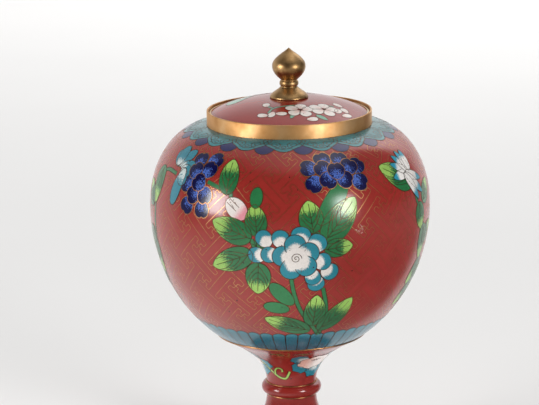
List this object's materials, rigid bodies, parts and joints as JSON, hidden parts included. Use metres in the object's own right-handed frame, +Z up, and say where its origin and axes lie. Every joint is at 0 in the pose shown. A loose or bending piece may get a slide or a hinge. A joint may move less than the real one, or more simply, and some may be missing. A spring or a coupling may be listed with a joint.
{
  "type": "covered jar",
  "caption": "Round enamelled copper jar on a waisted stem, with a lift-off lid set inside a brass collar and a screwed-on finial.",
  "frame": {"origin": "centre of the foot, on the surface it stands on", "axes": "+Z up along the jar's axis of turning, -Y towards the viewer"},
  "size_m": [0.18, 0.18, 0.2724],
  "materials": {
    "copper": "spun copper sheet, dull",
    "counter_enamel": "plain glassy enamel",
    "red_enamel": "polished opaque enamel with brass wires",
    "turquoise_enamel": "polished opaque enamel",
    "blue_enamel": "polished opaque enamel",
    "wire_brass": "ground flush and polished",
    "brass": "gilt, polished",
    "finial_brass": "turned, tarnished",
    "felt": "pressed felt"
  },
  "bodies": {
    "jar": {"bowl_shell": "copper", "bowl_lining": "counter_enamel", "bowl_enamel": "red_enamel", "cloud_band": "turquoise_enamel", "petal_band": "blue_enamel", "cloud_wire": "wire_brass", "petal_top_wire": "wire_brass", "petal_wire": "wire_brass", "collar_ring": "brass", "seat_ring": "brass", "stem_tube": "copper", "stem_enamel": "red_enamel", "knop_ring": "copper", "knop_enamel": "red_enamel", "foot_shell": "copper", "foot_enamel": "red_enamel", "foot_lining": "counter_enamel", "foot_rim": "brass"},
    "lid": {"lid_plate": "copper", "lid_enamel": "red_enamel", "lid_lining": "counter_enamel", "lid_edge": "brass", "lid_flange": "brass", "seat_washer": "felt", "nut_washer": "brass"},
    "finial": {"finial": "finial_brass"},
    "nut": {"finial_nut": "brass"}
  },
  "joints": [
    {"name": "lid_lift", "type": "slide", "parent": "jar", "child": "lid", "axis": [0, 0, 1], "range_m": [0, 0.08]},
    {"name": "finial_turn", "type": "hinge", "parent": "lid", "child": "finial", "pos_m": [0, 0, 0.24025], "axis": [0, 0, 1], "range_deg": [0, 1800]},
    {"name": "nut_travel", "type": "slide", "parent": "lid", "child": "nut", "axis": [0, 0, -1], "range_m": [0, 0.0035]}
  ],
  "couplings": [
    {"joint": "nut_travel", "follows": "finial_turn", "m_per_rad": 0.00011141}
  ]
}
